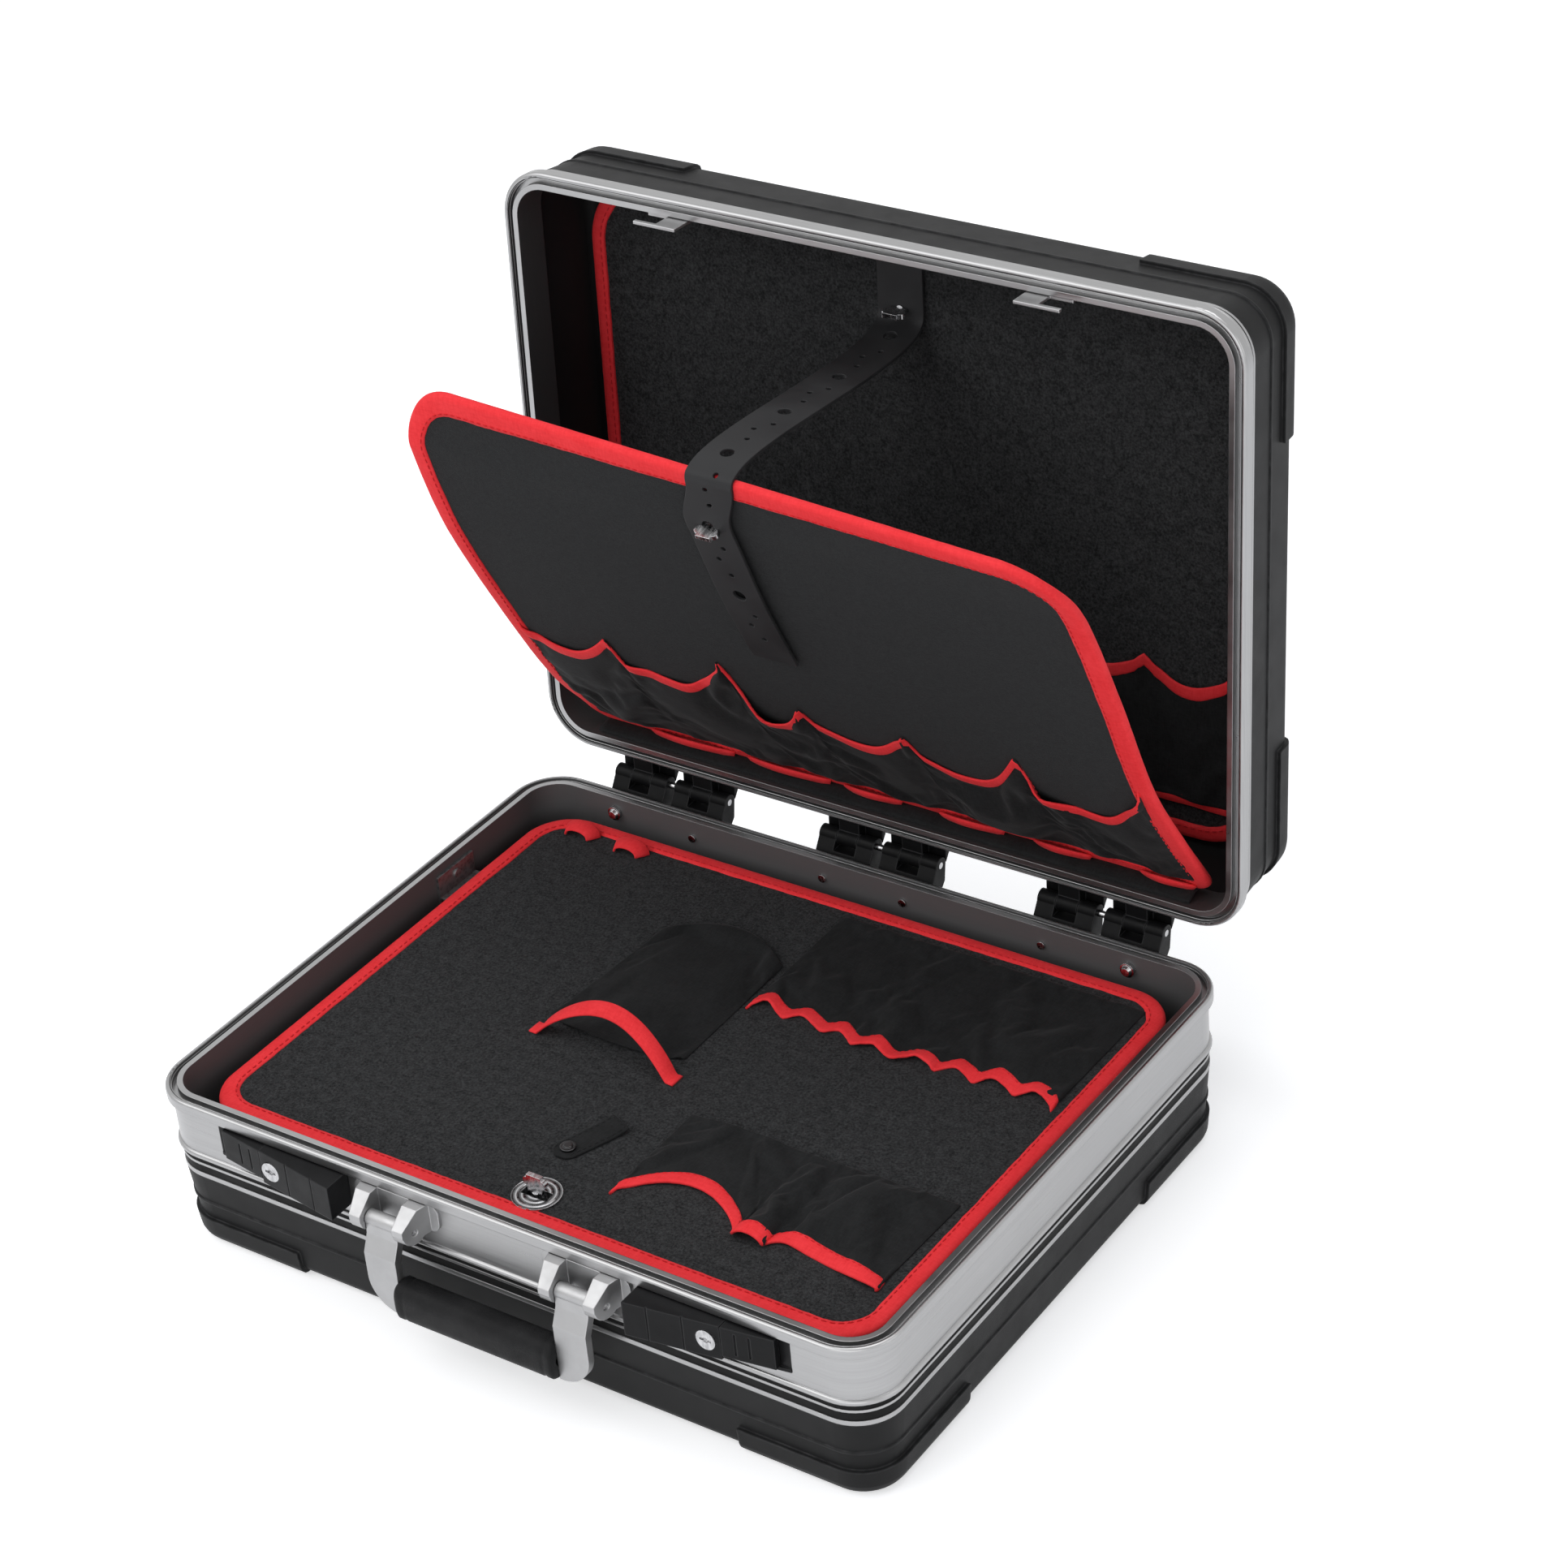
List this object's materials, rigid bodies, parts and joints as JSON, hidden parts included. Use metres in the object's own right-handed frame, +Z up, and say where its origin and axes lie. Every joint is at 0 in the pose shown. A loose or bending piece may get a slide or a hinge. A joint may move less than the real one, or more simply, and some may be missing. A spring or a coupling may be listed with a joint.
{
  "type": "hard tool case",
  "caption": "Hard tool case with aluminium rims, slide latches and carrying handle, a lift-out tool pallet and a folding pocket panel in its hinged lid.",
  "frame": {"origin": "On the floor under the middle of the base's footprint.", "axes": "+X to the right seen from the front, -Y out of the front with the handle, +Z up. At rest the lid stands open."},
  "size_m": [0.48, 0.4943, 0.4903],
  "materials": {
    "shell_plastic": "fine-grained matt black moulded plastic",
    "frame_aluminium": "satin anodised aluminium extrusion",
    "trim_rubber": "black rubber strip",
    "black_hardware": "smooth black moulded plastic",
    "black_metal": "black coated steel",
    "satin_metal": "satin cast metal",
    "bright_steel": "bright plated steel",
    "grey_steel": "grey zinc-plated sheet steel",
    "grip_rubber": "soft black grip",
    "felt_board": "dark grey felt on a stiff board",
    "black_cloth": "black woven polyester",
    "red_binding": "red woven binding tape",
    "strap_rubber": "black perforated rubber strap"
  },
  "bodies": {
    "case_base": {"base_shell": "shell_plastic", "base_frame": "frame_aluminium", "base_trim_strips": "trim_rubber", "base_studs": "bright_steel", "hinge_base_leaves": "black_metal", "hinge_pins": "bright_steel", "handle_bracket_left": "satin_metal", "handle_bracket_right": "satin_metal", "handle_pins": "bright_steel", "latch_housing_left": "black_hardware", "latch_housing_right": "black_hardware", "pallet_rests": "grey_steel", "knob_bracket": "grey_steel"},
    "handle": {"handle_arm_left": "satin_metal", "handle_arm_right": "satin_metal", "handle_core": "grey_steel", "handle_grip": "grip_rubber"},
    "slide_left": {"latch_slide_left": "black_hardware"},
    "slide_right": {"latch_slide_right": "black_hardware"},
    "lock_left": {"lock_cylinder_left": "bright_steel"},
    "lock_right": {"lock_cylinder_right": "bright_steel"},
    "pallet": {"pallet_board": "felt_board", "pallet_binding": "red_binding", "pallet_back_pocket": "black_cloth", "pallet_front_pocket": "black_cloth", "pallet_middle_pocket": "black_cloth", "pallet_pocket_elastics": "red_binding", "pallet_tool_loop": "red_binding", "pallet_back_loops": "red_binding", "pallet_flap": "black_cloth", "pallet_press_stud": "bright_steel", "pallet_eyelet": "bright_steel"},
    "pallet_knob": {"pallet_turn_knob": "bright_steel"},
    "lid": {"lid_shell": "shell_plastic", "lid_frame": "frame_aluminium", "lid_trim_strip": "trim_rubber", "hinge_lid_leaves": "black_metal", "lid_catch_left": "satin_metal", "lid_catch_right": "satin_metal", "lid_back_board": "felt_board", "lid_back_binding": "red_binding", "lid_back_pocket": "black_cloth", "lid_pocket_elastic": "red_binding", "lid_rivets": "bright_steel", "panel_hinge_tape": "black_cloth", "strap_upper": "strap_rubber"},
    "lid_stud": {"strap_stud_lid": "bright_steel"},
    "lid_panel": {"panel_board": "felt_board", "panel_binding": "red_binding", "panel_pockets": "black_cloth", "panel_pocket_elastic": "red_binding", "strap_lower": "strap_rubber"},
    "panel_stud": {"strap_stud_panel": "bright_steel"}
  },
  "joints": [
    {"name": "lid_hinge", "type": "hinge", "parent": "case_base", "child": "lid", "pos_m": [0, 0.199, 0.1058], "axis": [1, 0, 0], "range_deg": [0, 93]},
    {"name": "panel_fold", "type": "hinge", "parent": "lid", "child": "lid_panel", "pos_m": [0, 0.2152, 0.13219], "axis": [1, 0, 0], "range_deg": [-29, 0], "deforming": ["strap_upper"]},
    {"name": "handle_swing", "type": "hinge", "parent": "case_base", "child": "handle", "pos_m": [0, -0.195, 0.082], "axis": [-1, 0, 0], "range_deg": [0, 95]},
    {"name": "latch_slide_left", "type": "slide", "parent": "case_base", "child": "slide_left", "axis": [-1, 0, 0], "range_m": [0, 0.005], "stiffness_N_per_m": 150},
    {"name": "latch_slide_right", "type": "slide", "parent": "case_base", "child": "slide_right", "axis": [1, 0, 0], "range_m": [0, 0.005], "stiffness_N_per_m": 150},
    {"name": "lock_turn_left", "type": "hinge", "parent": "case_base", "child": "lock_left", "pos_m": [-0.144, -0.19, 0.084], "axis": [0, -1, 0], "range_deg": [0, 90]},
    {"name": "lock_turn_right", "type": "hinge", "parent": "case_base", "child": "lock_right", "pos_m": [0.144, -0.19, 0.084], "axis": [0, -1, 0], "range_deg": [0, 90]},
    {"name": "pallet_lift", "type": "slide", "parent": "case_base", "child": "pallet", "axis": [0, 0, -1], "range_m": [-0.06, 0]},
    {"name": "pallet_knob_turn", "type": "hinge", "parent": "case_base", "child": "pallet_knob", "pos_m": [0, -0.143, 0.08], "axis": [0, 0, 1], "range_deg": [0, 90]},
    {"name": "strap_stud_lid_turn", "type": "hinge", "parent": "lid", "child": "lid_stud", "pos_m": [-0.008, 0.27247, 0.42239], "axis": [0, -0.9986, 0.0523], "range_deg": [0, 90]},
    {"name": "strap_stud_panel_turn", "type": "hinge", "parent": "lid_panel", "child": "panel_stud", "pos_m": [-0.008, 0.08621, 0.38525], "axis": [0, -0.8988, -0.4384], "range_deg": [0, 90]}
  ],
  "couplings": [
    {"joint": "panel_fold", "follows": "lid_hinge", "ratio": -0.31183}
  ]
}
